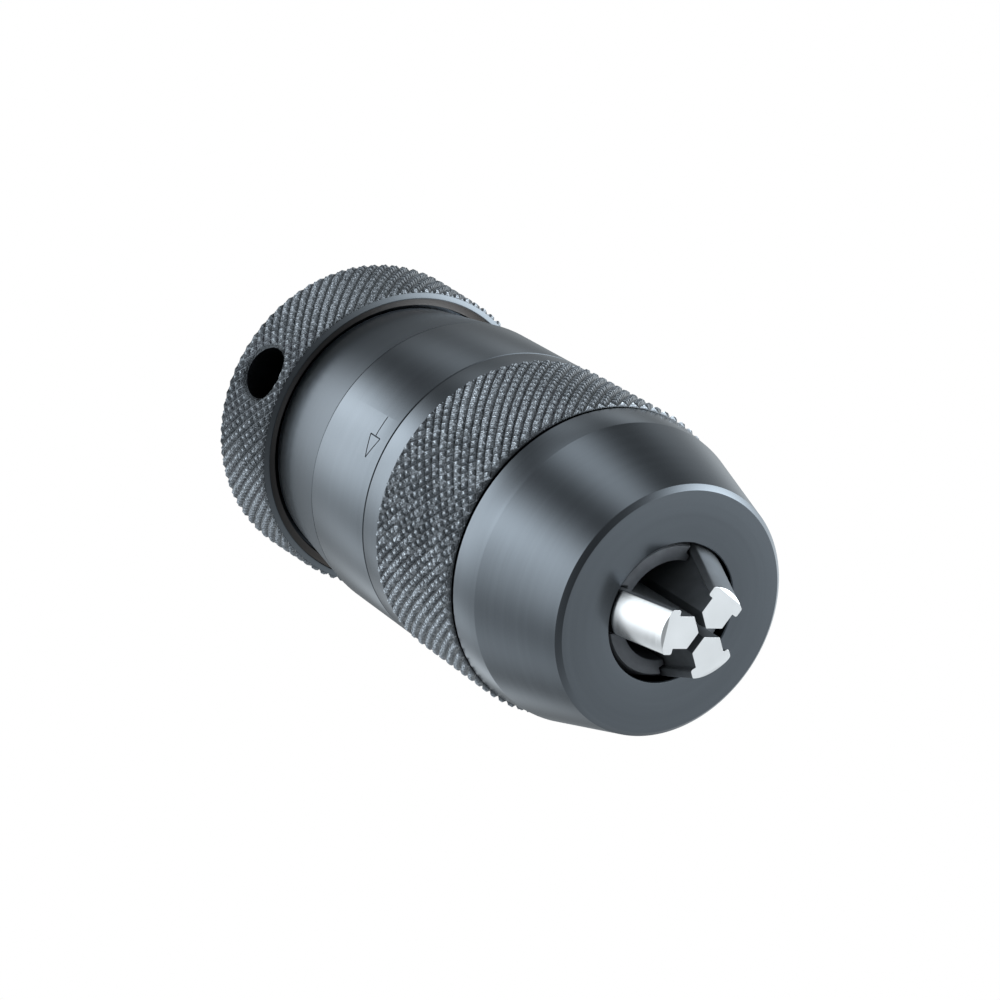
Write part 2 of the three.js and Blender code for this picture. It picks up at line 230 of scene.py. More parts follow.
def apply_modifiers(obj):
    bpy.context.view_layer.update()
    evaluated = obj.evaluated_get(bpy.context.evaluated_depsgraph_get())
    mesh = bpy.data.meshes.new_from_object(evaluated)
    obj.modifiers.clear()
    obj.data = mesh


def combine(obj, tool, operation):
    """Cuts a tool from an object, or adds it, and removes the tool."""
    modifier = obj.modifiers.new(operation.lower(), "BOOLEAN")
    modifier.operation = operation
    modifier.solver = "EXACT"
    modifier.object = tool
    apply_modifiers(obj)
    bpy.data.objects.remove(tool)
    return obj


def bevel_edges(obj, width, segments=2, angle=40):
    modifier = obj.modifiers.new("bevel", "BEVEL")
    modifier.width = width * MM
    modifier.segments = segments
    modifier.limit_method = "ANGLE"
    modifier.angle_limit = math.radians(angle)
    apply_modifiers(obj)


def keep_side(obj, point, normal):
    """Trims an object with a plane and closes the cut. The side that the normal points to goes."""
    shape = bmesh.new()
    shape.from_mesh(obj.data)
    geometry = shape.verts[:] + shape.edges[:] + shape.faces[:]
    place = Vector(point) * MM
    cut = bmesh.ops.bisect_plane(
        shape, geom=geometry, plane_co=place, plane_no=normal, clear_outer=True, dist=1e-7)
    edges = [item for item in cut["geom_cut"] if isinstance(item, bmesh.types.BMEdge)]
    bmesh.ops.contextual_create(shape, geom=edges)
    bmesh.ops.recalc_face_normals(shape, faces=shape.faces)
    shape.to_mesh(obj.data)
    shape.free()


def finish_piece(obj, name, nodes, body, materials, sharp_angle=SHARP_ANGLE):
    """Gives a piece its shading, materials and body, and hides the CAD nodes that it stands for."""
    obj.name = name
    obj.data.name = name
    obj.data.materials.clear()
    for material in materials:
        obj.data.materials.append(material)
    obj.data.polygons.foreach_set("use_smooth", [True] * len(obj.data.polygons))
    obj.data.set_sharp_from_angle(angle=sharp_angle)
    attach(obj, body)
    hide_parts(*nodes)
    return obj


def join(main, other):
    bpy.ops.object.select_all(action="DESELECT")
    for obj in (other, main):
        obj.select_set(True)
    bpy.context.view_layer.objects.active = main
    bpy.ops.object.join()
    return main


# ------------------------------------------------------------------ knurling
def split(polygon, value):
    """The parts of a convex polygon where value(point) is at most 0 and above 0."""
    values = [value(point) for point in polygon]
    if max(values) <= 0:
        return polygon, []
    if min(values) > 0:
        return [], polygon
    inside, outside = [], []
    for index, point in enumerate(polygon):
        after = (index + 1) % len(polygon)
        here, there = values[index], values[after]
        (inside if here <= 0 else outside).append(point)
        if (here <= 0) != (there <= 0):
            share = here / (here - there)
            crossing = tuple(p + (q - p) * share for p, q in zip(point, polygon[after]))
            inside.append(crossing)
            outside.append(crossing)
    return inside, outside


def clamped(polygons, limit, is_ceiling):
    """Polygons with every radius held below, or above, limit(arc length, z)."""
    result = []
    sign = 1 if is_ceiling else -1
    for polygon in polygons:
        kept, past = split(polygon, lambda p: sign * (p[2] - limit(p[0], p[1])))
        result.append(kept)
        result.append([(s, z, limit(s, z)) for s, z, _ in past])
    return [polygon for polygon in result if len(polygon) > 2]


def diamond_cells(knurl, low, high, seed):
    """Truncated pyramids over a band, as polygons of (arc length, z, radius)."""
    draw = random.Random(seed)
    count, pitch, depth = knurl["count"], knurl["pitch"], knurl["depth"]
    width = TURN * knurl["crest"] / count
    root = knurl["crest"] - depth
    for row in range(int(low / pitch) - 1, int(high / pitch) + 2):
        for half in (0, 0.5):
            z = (row + half) * pitch + knurl["offset"]
            if z + pitch / 2 <= low or z - pitch / 2 >= high:
                continue
            for column in range(-(count // 2), count - count // 2):
                s = (column + half) * width
                uneven = [draw.uniform(-KNURL_UNEVEN, KNURL_UNEVEN) for _ in range(3)]
                levels = []
                for scale, height in KNURL_LEVELS:
                    lift = root + depth * height * (1 + uneven[0] * height) + knurl["taper"] * z
                    mid_s = s + width * height * uneven[1]
                    mid_z = z + pitch * height * uneven[2]
                    reach_s = scale * width / 2
                    reach_z = scale * pitch / 2
                    levels.append([
                        (mid_s + reach_s, mid_z, lift), (mid_s, mid_z + reach_z, lift),
                        (mid_s - reach_s, mid_z, lift), (mid_s, mid_z - reach_z, lift)])
                cell = [levels[-1]]
                for outer, inner in zip(levels, levels[1:]):
                    for side in range(4):
                        after = (side + 1) % 4
                        cell.append([outer[side], outer[after], inner[after], inner[side]])
                yield cell


def knurled_skin(name, knurl, low, high, limits, seed, skirt_radius, has_hole=False):
    """Knurling between two heights. Limits are (function, is_ceiling) pairs for the radius."""
    crest = knurl["crest"]
    length = TURN * crest
    edges = [lambda p: p[1] - high, lambda p: low - p[1]]
    if has_hole:
        edges.append(lambda p: RING_HOLE_RADIUS - hole_distance(p[0], p[1]))
    places = {}
    vertices = []
    faces = []
    for polygons in diamond_cells(knurl, low, high, seed):
        for limit, is_ceiling in limits:
            polygons = clamped(polygons, limit, is_ceiling)
        for edge in edges:
            polygons = [split(polygon, edge)[0] for polygon in polygons]
            polygons = [polygon for polygon in polygons if len(polygon) > 2]
        for polygon in polygons:
            face = []
            for s, z, radius in polygon:
                key = (round(s % length * 5000) % round(length * 5000), round(z * 5000))
                if key not in places:
                    places[key] = len(vertices)
                    angle = s / crest
                    vertices.append((radius * math.cos(angle), radius * math.sin(angle), z))
                if places[key] not in face:
                    face.append(places[key])
            if len(face) > 2:
                faces.append(face)
    add_skirt(vertices, faces, skirt_radius, has_hole)
    return new_object(name, vertices, faces)


def hole_distance(s, z):
    """Distance of a point on the ring's outside from the middle of the spanner hole."""
    if abs(s) > 10:
        return abs(s)
    return math.hypot(s * 0.985, z - RING_HOLE_Z)


def add_skirt(vertices, faces, radius, has_hole):
    """Walls from a skin's open edges down into the metal below it, straight down at the hole."""
    edges = {}
    for face in faces:
        for index, vertex in enumerate(face):
            edges[(vertex, face[(index + 1) % len(face)])] = True
    lower = {}

    def lowered(vertex):
        if vertex not in lower:
            x, y, z = vertices[vertex]
            at_hole = has_hole and x > 0 and math.hypot(y, z - RING_HOLE_Z) < RING_HOLE_RADIUS + 0.4
            scale = radius / math.hypot(x, y)
            lower[vertex] = len(vertices)
            vertices.append((RING_HOLE_STEP - 0.1, y, z) if at_hole else (x * scale, y * scale, z))
        return lower[vertex]

    for start, end in [edge for edge in edges if edge[::-1] not in edges]:
        faces.append([end, start, lowered(start), lowered(end)])


# ------------------------------------------------------------------ materials
def add_node(tree, kind, inputs=None, **settings):
    """A shader node with its settings, and its inputs set to values or linked to sockets."""
    node = tree.nodes.new(kind)
    for key, value in settings.items():
        setattr(node, key, value)
    for key, value in (inputs or {}).items():
        if isinstance(value, bpy.types.NodeSocket):
            tree.links.new(value, node.inputs[key])
        else:
            node.inputs[key].default_value = value
    return node


def math_node(tree, operation, a, b=0.0):
    return add_node(tree, "ShaderNodeMath", {0: a, 1: b}, operation=operation).outputs[0]


def steel(name, colour, roughness, grain=900, around=25, marks=0.06, bump=0.1, painted_light_and_wear_by_radius=None, taper=0.0,
          speckle=0.0, metallic=1.0):
    """Turned steel. Its tool marks run round the axis, and the (radius, shade) list paints light and
    shade into its colour by its radius, less taper times z. Speckle roughens it all over."""
    material = bpy.data.materials.new(name)
    material.use_nodes = True
    tree = material.node_tree
    tree.nodes.clear()
    place = add_node(tree, "ShaderNodeTexCoord").outputs["Object"]
    axes = add_node(tree, "ShaderNodeSeparateXYZ", {0: place})
    x, y, z = axes.outputs
    flat = add_node(tree, "ShaderNodeCombineXYZ", {0: x, 1: y})
    radius = add_node(
        tree, "ShaderNodeVectorMath", {0: flat.outputs[0]}, operation="LENGTH").outputs[1]
    along = math_node(tree, "MULTIPLY", math_node(tree, "SUBTRACT", z, radius), grain)
    turned = add_node(tree, "ShaderNodeCombineXYZ", {
        0: math_node(tree, "MULTIPLY", x, around), 1: math_node(tree, "MULTIPLY", y, around), 2: along})
    fine = add_node(tree, "ShaderNodeTexNoise", {
        "Vector": turned.outputs[0], "Scale": 1.0, "Detail": 5.0, "Roughness": 0.65})
    broad = add_node(tree, "ShaderNodeTexNoise", {"Vector": place, "Scale": 70.0, "Detail": 3.0})
    mixed = math_node(tree, "ADD", math_node(tree, "MULTIPLY", fine.outputs[0], 0.7),
                      math_node(tree, "MULTIPLY", broad.outputs[0], 0.3))
    shade = add_node(tree, "ShaderNodeMapRange", {
        "Value": mixed, "From Min": 0.3, "From Max": 0.7, "To Min": 1 - marks,
        "To Max": 1 + marks}).outputs[0]
    # Painted light and shade: each (radius, shade) step multiplies the colour by a factor that follows
    # the radius.
    painted_light_and_wear_by_radius = painted_light_and_wear_by_radius or [(0.0, 1.0)]
    height = math_node(tree, "SUBTRACT", radius, math_node(tree, "MULTIPLY", z, taper))
    shade = math_node(tree, "MULTIPLY", shade, painted_light_and_wear_by_radius[0][1])
    for (low, low_shade), (high, high_shade) in zip(painted_light_and_wear_by_radius, painted_light_and_wear_by_radius[1:]):
        step = add_node(tree, "ShaderNodeMapRange", {
            "Value": height, "From Min": low * MM, "From Max": high * MM, "To Min": 1.0,
            "To Max": high_shade / low_shade}).outputs[0]
        shade = math_node(tree, "MULTIPLY", shade, step)
    grit = add_node(tree, "ShaderNodeTexNoise", {
        "Vector": place, "Scale": 4500.0, "Detail": 2.0}).outputs[0]
    spots = add_node(tree, "ShaderNodeMapRange", {
        "Value": grit, "From Min": 0.36, "From Max": 0.64, "To Min": 1 - 0.6 * speckle,
        "To Max": 1 + 0.7 * speckle}).outputs[0]
    shade = math_node(tree, "MULTIPLY", shade, spots)
    tint = add_node(tree, "ShaderNodeVectorMath", {0: colour, "Scale": shade}, operation="SCALE")
    rough = add_node(tree, "ShaderNodeMapRange", {
        "Value": mixed, "From Min": 0.3, "From Max": 0.7, "To Min": roughness * 0.9,
        "To Max": roughness * 1.1})
    bumped = add_node(tree, "ShaderNodeBump", {
        "Height": fine.outputs[0], "Strength": bump, "Distance": 0.01 * MM})
    if speckle:
        bumped = add_node(tree, "ShaderNodeBump", {
            "Height": grit, "Strength": speckle, "Distance": 0.2 * MM, "Normal": bumped.outputs[0]})
    shader = add_node(tree, "ShaderNodeBsdfPrincipled", {
        "Base Color": tint.outputs[0], "Roughness": rough.outputs[0], "Metallic": metallic,
        "Normal": bumped.outputs[0]})
    add_node(tree, "ShaderNodeOutputMaterial", {"Surface": shader.outputs[0]})
    return material


def ground_steel(name, colour, roughness, streak=(150, 150, 2600), marks=0.08, bump=0.12):
    """Bright steel with straight grinding streaks across +Z."""
    material = bpy.data.materials.new(name)
    material.use_nodes = True
    tree = material.node_tree
    tree.nodes.clear()
    place = add_node(tree, "ShaderNodeTexCoord").outputs["Object"]
    stretched = add_node(tree, "ShaderNodeVectorMath", {0: place, 1: streak}, operation="MULTIPLY")
    fine = add_node(tree, "ShaderNodeTexNoise", {
        "Vector": stretched.outputs[0], "Scale": 1.0, "Detail": 4.0, "Roughness": 0.6})
    shade = add_node(tree, "ShaderNodeMapRange", {
        "Value": fine.outputs[0], "From Min": 0.3, "From Max": 0.7, "To Min": 1 - marks, "To Max": 1.0})
    tint = add_node(
        tree, "ShaderNodeVectorMath", {0: colour, "Scale": shade.outputs[0]}, operation="SCALE")
    rough = add_node(tree, "ShaderNodeMapRange", {
        "Value": fine.outputs[0], "From Min": 0.3, "From Max": 0.7, "To Min": roughness * 0.8,
        "To Max": roughness * 1.2})
    bumped = add_node(tree, "ShaderNodeBump", {
        "Height": fine.outputs[0], "Strength": bump, "Distance": 0.01 * MM})
    shader = add_node(tree, "ShaderNodeBsdfPrincipled", {
        "Base Color": tint.outputs[0], "Roughness": rough.outputs[0], "Metallic": 1.0,
        "Normal": bumped.outputs[0]})
    add_node(tree, "ShaderNodeOutputMaterial", {"Surface": shader.outputs[0]})
    return material


def make_materials():
    oxide = (0.124, 0.135, 0.147)
    knurled = (0.2, 0.213, 0.228)
    return {
        "sleeve": steel("sleeve_steel", oxide, 0.19),
        # Painted light: the taper's colour is brightened up to fourfold towards its rear edge by the
        # holding ring, against the shade and dark reflection that the ring throws there.
        "sleeve_taper": steel("sleeve_taper_steel", oxide, 0.35, marks=0.08,
                              painted_light_and_wear_by_radius=[(19.35, 4.0), (19.6, 2.0), (19.9, 1.15), (20.3, 1.0)]),
        # Knurl colour: the valleys are painted dark as shade, and the crests painted bright, partly as
        # burnished wear and partly as painted highlight.
        "sleeve_knurl": steel("sleeve_knurl_steel", knurled, 0.2, marks=0.15, speckle=0.5,
                              painted_light_and_wear_by_radius=[(21.05, 0.3), (21.18, 0.75), (21.36, 0.95), (21.47, 1.9)]),
        # Painted shade: the ring's plain faces are painted darker the nearer they lie to the axis, as
        # shade in its bore, recess and front face.
        "ring": steel("ring_steel", (0.12, 0.13, 0.14), 0.32, painted_light_and_wear_by_radius=[(18.0, 0.3), (21.3, 1.0)]),
        # Painted reflection: the recess step gets a warm brown tint that stands in for warm light
        # reflected into the recess.
        "ring_step_painted_reflection": steel("ring_step_painted_reflection_steel", (0.125, 0.11, 0.1), 0.35),
        # Knurl colour on the ring: the valleys are painted dark as shade, and the crests painted
        # bright, partly as burnished wear and partly as painted highlight.
        "ring_knurl": steel("ring_knurl_steel", knurled, 0.22, marks=0.15, speckle=0.5,
                            painted_light_and_wear_by_radius=[(22.03, 0.35), (22.17, 0.65), (22.36, 0.85), (22.47, 1.3)],
                            taper=RING_KNURL["taper"]),
        "nose": steel("nose_steel", oxide, 0.19),
        "guide": steel("guide_steel", (0.13, 0.135, 0.145), 0.5, grain=600, around=600,
                       marks=0.2, metallic=0.4),
        "body": steel("body_steel", (0.2, 0.21, 0.22), 0.3),
        "jaw": ground_steel("jaw_steel", (0.93, 0.92, 0.91), 0.2),
        "jaw_side": steel("jaw_side_steel", (0.16, 0.168, 0.178), 0.4, grain=500, around=500,
                          marks=0.15, metallic=0.6),
        "screw": steel("screw_steel", (0.5, 0.51, 0.52), 0.3),
        "bearing": steel("bearing_steel", (0.7, 0.71, 0.72), 0.15),
        "spring": steel("spring_steel", (0.22, 0.21, 0.2), 0.3),
        "brass": steel("cage_brass", (0.72, 0.55, 0.27), 0.3),
    }


# ------------------------------------------------------------------ turned parts
def build_ring(materials):
    taper = RING_KNURL["taper"]
    root = RING_CREST - RING_KNURL["depth"]
    face_slope = (RING_CHAMFER_RADIUS - RING_FACE_RADIUS) / (RING_FRONT - RING_CHAMFER_Z)
    skin_rear = 0.05
    skin_front = RING_CHAMFER_Z + 0.1
    front_root = root + taper * skin_front
    core_ring = lathe("ring_core", [
        (RING_SNAP_RADIUS, RING_REAR, 0.1),
        (root - 0.2, RING_REAR, 0.03),
        (root - 0.03, skin_rear, 0),
        (root - CORE_DEPTH, 0.3, 0),
        (front_root - CORE_DEPTH, skin_front - 0.25, 0),
        (front_root + 0.01, skin_front, 0),
        (RING_FACE_RADIUS, RING_FRONT, 0.1),
        (RING_STEP_RADIUS, RING_FRONT, 0.02),
        (RING_STEP_RADIUS, RING_STEP_Z, 0.1),
        (RING_RECESS_RADIUS, RING_STEP_Z, 0.08),
        (RING_RECESS_RADIUS, RING_RECESS_FLOOR, 0.2),
        (RING_BORE, RING_RECESS_FLOOR, 0.1),
        (RING_BORE, RING_SNAP_DEPTH, 0.1),
        (RING_SNAP_RADIUS, RING_SNAP_DEPTH, 0.1),
    ])
    wall, step = RING_HOLE_RADIUS + 0.02, RING_HOLE_RADIUS + 0.45
    hole = rod((wall, wall, step, step), (11, RING_HOLE_STEP, RING_HOLE_STEP, 24))
    combine(core_ring, hole, "DIFFERENCE")
    limits = [
        (lambda s, z: root - 0.03 + 1.2 * (z - skin_rear), True),
        (lambda s, z: RING_CHAMFER_RADIUS + RING_CHAMFER_Z - z, True),
        (lambda s, z: RING_CHAMFER_RADIUS + face_slope * (RING_CHAMFER_Z - z), True),
        (lambda s, z: root + taper * z + 0.9 * (hole_distance(s, z) - RING_HOLE_RADIUS - 0.3), True),
    ]
    skin = knurled_skin("ring_skin", RING_KNURL, skin_rear, skin_front, limits, seed=3,
                        skirt_radius=front_root - CORE_DEPTH - 0.05, has_hole=True)
    join(core_ring, skin)
    finish_piece(core_ring, "holding_ring_visual", ["holding_ring"], "body",
                 [materials["ring"], materials["ring_knurl"], materials["ring_step_painted_reflection"]])
    for face in core_ring.data.polygons:
        radius = face.center.xy.length / MM
        if radius > front_root - CORE_DEPTH and face.center.z < skin_front * MM:
            face.material_index = 1
        # The recess step's faces get the brown tint of painted reflection.
        elif RING_RECESS_RADIUS - 0.1 < radius < RING_STEP_RADIUS + 0.05 and face.center.z > 11.5 * MM:
            face.material_index = 2


def arrow_stroke(start, end, half_width=0.15, depth=0.12, above=0.06, steps=10):
    """A V-shaped bar along the sleeve's surface, from and to (arc length, z)."""
    (s0, z0), (s1, z1) = start, end
    length = math.hypot(s1 - s0, z1 - z0)
    side_s, side_z = -(z1 - z0) / length * half_width, (s1 - s0) / length * half_width
    sections = []
    for step in range(steps + 1):
        s = s0 + (s1 - s0) * step / steps
        z = z0 + (z1 - z0) * step / steps
        corners = ((s + side_s, z + side_z, above), (s, z, -depth), (s - side_s, z - side_z, above))
        section = []
        for arc, height, rise in corners:
            angle = arc / SLEEVE_RADIUS
            radius = SLEEVE_RADIUS + rise
            section.append((radius * math.cos(angle), radius * math.sin(angle), height))
        sections.append(section)
    stroke = loft("stroke", sections)
    shape = bmesh.new()
    shape.from_mesh(stroke.data)
    bmesh.ops.recalc_face_normals(shape, faces=shape.faces)
    shape.to_mesh(stroke.data)
    shape.free()
    return stroke


def engrave_arrow(obj):
    """An outlined arrowhead with a shaft, which shows the way to turn the sleeve."""
    z, tail, base, tip, half = 37.15, -3.9, -0.86, 2.2, 1.25
    for start, end in (
            ((tail, z), (base, z)),
            ((base, z - half), (base, z + half)),
            ((base, z - half), (tip, z)),
            ((base, z + half), (tip, z))):
        combine(obj, arrow_stroke(start, end), "DIFFERENCE")


def build_sleeve(materials):
    root = SLEEVE_CREST - SLEEVE_KNURL["depth"]
    core = root - CORE_DEPTH
    skin_front = SLEEVE_FRONT - 0.05
    core_sleeve = lathe("sleeve_core", [
        (SLEEVE_REAR_BORE, SLEEVE_REAR, 0.1),
        (SLEEVE_TAPER_REAR - 0.41, SLEEVE_REAR, 0.2),
        (SLEEVE_TAPER_REAR, 12.15, 0.8),
        (21.24, SLEEVE_TAPER_END - 0.09, 0.02),
        (21.17, SLEEVE_TAPER_END, 0.02),
        (SLEEVE_RADIUS, SLEEVE_TAPER_END + 0.09, 0.02),
        (SLEEVE_RADIUS, SLEEVE_GROOVE_Z - 0.17, 0.03),
        (SLEEVE_RADIUS - 0.22, SLEEVE_GROOVE_Z, 0.03),
        (SLEEVE_RADIUS, SLEEVE_GROOVE_Z + 0.17, 0.03),
        (SLEEVE_RADIUS, SLEEVE_KNURL_START, 0),
        (core, SLEEVE_KNURL_START + 0.4, 0),
        (core, SLEEVE_FRONT - 0.3, 0),
        (root - 0.01, skin_front, 0),
        (root - 0.06, SLEEVE_FRONT, 0),
        (SLEEVE_SEAT, SLEEVE_FRONT, 0.1),
        (SLEEVE_SEAT, SLEEVE_SEAT_REAR, 0.1),
        (SLEEVE_BORE, SLEEVE_SEAT_REAR, 0.1),
        (SLEEVE_BORE, SLEEVE_WEB_FRONT, 0.3),
        (SLEEVE_REAR_BORE, SLEEVE_WEB_FRONT, 0.1),
    ])
    engrave_arrow(core_sleeve)
    limits = [
        (lambda s, z: SLEEVE_RADIUS + z - SLEEVE_KNURL_START, True),
        (lambda s, z: SLEEVE_RADIUS - z + SLEEVE_KNURL_START, False),
        (lambda s, z: SLEEVE_CREST + 1.2 * (SLEEVE_FRONT - 0.45 - z), True),
    ]
    skin = knurled_skin("sleeve_skin", SLEEVE_KNURL, SLEEVE_KNURL_START, skin_front, limits, seed=5,
                        skirt_radius=core - 0.05)
    join(core_sleeve, skin)
    finish_piece(core_sleeve, "sleeve_visual", ["sleeve"], "sleeve_unit",
                 [materials["sleeve"], materials["sleeve_knurl"], materials["sleeve_taper"]])
    for face in core_sleeve.data.polygons:
        # The taper's faces get the steel with painted light towards the ring.
        if face.center.z < (SLEEVE_TAPER_END - 0.05) * MM:
            face.material_index = 2
        elif face.center.z > SLEEVE_KNURL_START * MM and face.center.xy.length > (core - 0.1) * MM:
            face.material_index = 1


def cone_radius(z):
    """Radius of the cone that the jaws slide on."""
    return JAW_OUTER + GAP / math.cos(CONE_ANGLE) + (JAW_TIP - z) * CONE_SLOPE


def cone_height(radius):
    return JAW_TIP - (radius - cone_radius(JAW_TIP)) / CONE_SLOPE


def build_nose(materials):
    mouth, bore, spigot, shoulder = 9.25, 17.3, 19.0, 63.3
    nose = lathe("nose_core", [
        (bore, NOSE_REAR, 0.1),
        (spigot, NOSE_REAR, 0.2),
        (spigot, shoulder, 0.1),
        (NOSE_RADIUS, shoulder, 0.18),
        (20.45, 67.8, 0.3),
        (16.75, 80.72, 0.06),
        (16.08, NOSE_FRONT, 0.06),
        (mouth + 0.12, NOSE_FRONT, 0.03),
        (mouth, NOSE_FRONT - 0.12, 0.03),
        (mouth, cone_height(mouth), 0.02),
        (bore, cone_height(bore), 0.1),
    ])
    finish_piece(nose, "nose_cone_visual", ["nose_cone"], "sleeve_unit",
                 [materials["nose"]])


def build_guide(materials):
    skirt, bore, skirt_bore = 17.0, 6.6, 15.8
    rim = cone_radius(GUIDE_FRONT - 0.3) - 0.9
    web_rear, ring_front = 61.6, 57.7
    guide = lathe("guide_core", [
        (skirt_bore, GUIDE_REAR, 0.1),
        (GUIDE_RADIUS, GUIDE_REAR, 0.2),
        (GUIDE_RADIUS, ring_front, 0.2),
        (skirt, ring_front, 0.1),
        (skirt, cone_height(skirt + 0.9), 0.2),
        (rim, GUIDE_FRONT - 0.3, 0.04),
        (rim - 0.25, GUIDE_FRONT, 0.04),
        (bore, GUIDE_FRONT, 0.12),
        (bore, web_rear, 0.1),
        (skirt_bore, web_rear, 0.1),
    ], segments=INNER_SEGMENTS)
    low, high = ring_front + 0.1, GUIDE_FRONT + 1
    flange_half = JAW_FLANGE_HALF + GAP
    # The rear pocket is a hair wider than the T-slot, so that no two cuts share a plane.
    pocket_half = flange_half + 0.03
    for angle in JAW_ANGLES:
        cutters = (
            block(0, 17.25, pocket_half, GUIDE_REAR - 1, web_rear + 0.1),
            block(0, 20, JAW_STEM_HALF + GAP, low, high),
            block(JAW_FLANGE_INNER - GAP, 20, flange_half, low, high, lean=CONE_SLOPE),
        )
        for cutter in cutters:
            combine(guide, turned_about_axis(cutter, angle), "DIFFERENCE")
    bevel_edges(guide, 0.06, angle=50)
    finish_piece(guide, "jaw_guide_visual", ["jaw_guide"], "sleeve_unit",
                 [materials["guide"]])


def build_body(materials):
    hub, shank, flange, boss = 12.5, 13.0, 17.5, 11.0
    body = lathe("body_core", [
        (0, 18.5, 0),
        (5.57, 18.5, 0.2),
        (6.01, 0.7, 0.1),
        (6.73, RING_REAR, 0.1),
        (hub - 0.4, RING_REAR, 0.05),
        (hub, 0.4, 0.05),
        (hub, 0.6, 0),
        (11.6, 0.6, 0.05),
        (11.6, 2.1, 0.05),
        (hub, 2.1, 0.05),
        (hub, 11.3, 0.1),
        (shank, 11.3, 0.1),
        (shank, 24.7, 0.2),
        (flange, 24.7, 0.3),
        (flange, 32.0, 0.5),
        (boss, 32.0, 0.3),
        (boss, 41.5, 0.4),
        (7.0, 41.5, 0.1),
        (6.3, 40.8, 0.1),
        (6.3, 20.3, 0.2),
        (0, 20.3, 0),
    ], segments=INNER_SEGMENTS)
    finish_piece(body, "chuck_body_visual", ["chuck_body"], "body", [materials["body"]])


def build_snap_ring(materials):
    inner, outer, rear, front = 11.9, 14.9, 0.9, 1.8
    ring = lathe("snap_core", [
        (inner, rear, 0.1), (outer, rear, 0.12), (outer, front, 0.12), (inner, front, 0.1),
    ], segments=INNER_SEGMENTS)
    split_block = turned_about_axis(block(5, 20, 1.8, 0, 3), math.pi)
    combine(ring, split_block, "DIFFERENCE")
    bevel_edges(ring, 0.08, angle=50)
    finish_piece(ring, "snap_ring_visual", ["snap_ring"], "body", [materials["spring"]])


# ------------------------------------------------------------------ jaws
def jaw_section(z):
    """A jaw's outline at a height: a V edge, a stem and a rounded flange that follows the cone."""
    shift = (JAW_TIP - z) * CONE_SLOPE
    reach = math.asin(JAW_FLANGE_HALF / JAW_OUTER)
    inner = JAW_FLANGE_INNER + shift
    shoulder = JAW_EDGE + JAW_STEM_HALF / math.tan(math.radians(60))
    side = [
        (shoulder, -JAW_STEM_HALF, 0.08),
        (inner, -JAW_STEM_HALF, 0.12),
        (inner, -JAW_FLANGE_HALF, 0.3),
    ]
    steps = 14
    back = []
    for step in range(steps + 1):
        angle = reach * (2 * step / steps - 1)
        corner = 0.3 if step in (0, steps) else 0
        back.append((shift + JAW_OUTER * math.cos(angle), JAW_OUTER * math.sin(angle), corner))
    mirrored = [(x, -y, corner) for x, y, corner in reversed(side)]
    outline = rounded([(JAW_EDGE, 0, 0.1), *side, *back, *mirrored], steps=6)
    return [(x, y, z) for x, y in outline]


def build_jaw(index, materials):
    """A jaw with a slotted foot. Its tip is ground bright. The first jaw's back gets the same bright
    steel as a painted highlight; the other jaws' backs stay dark.
    """
    jaw = loft("jaw_core", [jaw_section(JAW_BAR_REAR), jaw_section(JAW_TIP)])
    keep_side(jaw, (JAW_TRIM_RADIUS, 0, 0), (1, 0, 0))
    keep_side(jaw, (JAW_TIP_CHAMFER, 0, JAW_TIP), JAW_CHAMFER_NORMAL)
    combine(jaw, block(5.2, JAW_TRIM_RADIUS, 1.6, 56.9, JAW_BAR_REAR + 0.1), "UNION")
    combine(jaw, block(5.2, JAW_TRIM_RADIUS, 2.8, 55.1, 57.0), "UNION")
    bevel_edges(jaw, 0.05)
    turned_about_axis(jaw, JAW_ANGLES[index])
    node = f"jaw_{index + 1}"
    finish_piece(jaw, f"{node}_visual", [node], f"jaw_{'abc'[index]}",
                 [materials["jaw"], materials["jaw_side"]], sharp_angle=JAW_SHARP_ANGLE)
    outward = direction(math.degrees(JAW_ANGLES[index]), math.degrees(CONE_ANGLE))
    for face in jaw.data.polygons:
        is_tip = face.normal.z > 0.5 and face.center.z > (JAW_TIP - 1.2) * MM
        # Painted highlight: only the first jaw's back is given the bright ground steel.
        is_painted_highlight_back = index == 0 and face.normal.dot(outward) > 0.8
        face.material_index = 0 if is_tip or is_painted_highlight_back else 1
        face.use_smooth = not is_tip


# ------------------------------------------------------------------ inner CAD nodes
def finish_inner_nodes(materials):
    """The parts sealed inside keep their CAD solids."""
    looks = {"front_race": ("bearing", "bearing_steel"), "rear_race": ("bearing", "bearing_steel"),
             "ball_cage": ("brass", "cage_brass"), "draw_screw": ("screw", "screw_steel")}
    for index in range(16):
        looks[f"ball_{index + 1:02d}"] = ("bearing", "bearing_steel")
    for node, (key, slot) in looks.items():
        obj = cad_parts[node]
        obj.data.materials.clear()
        obj.data.materials.append(materials[key])


# ------------------------------------------------------------------ light, floor and camera
# How tightly a soft light's glow gathers round its middle, from a spot to a glow that fills the sky.
SPOT = 60
PANEL = 28
WIDE_PANEL = 18
KEY = 9
WASH = 8
SKY = 4

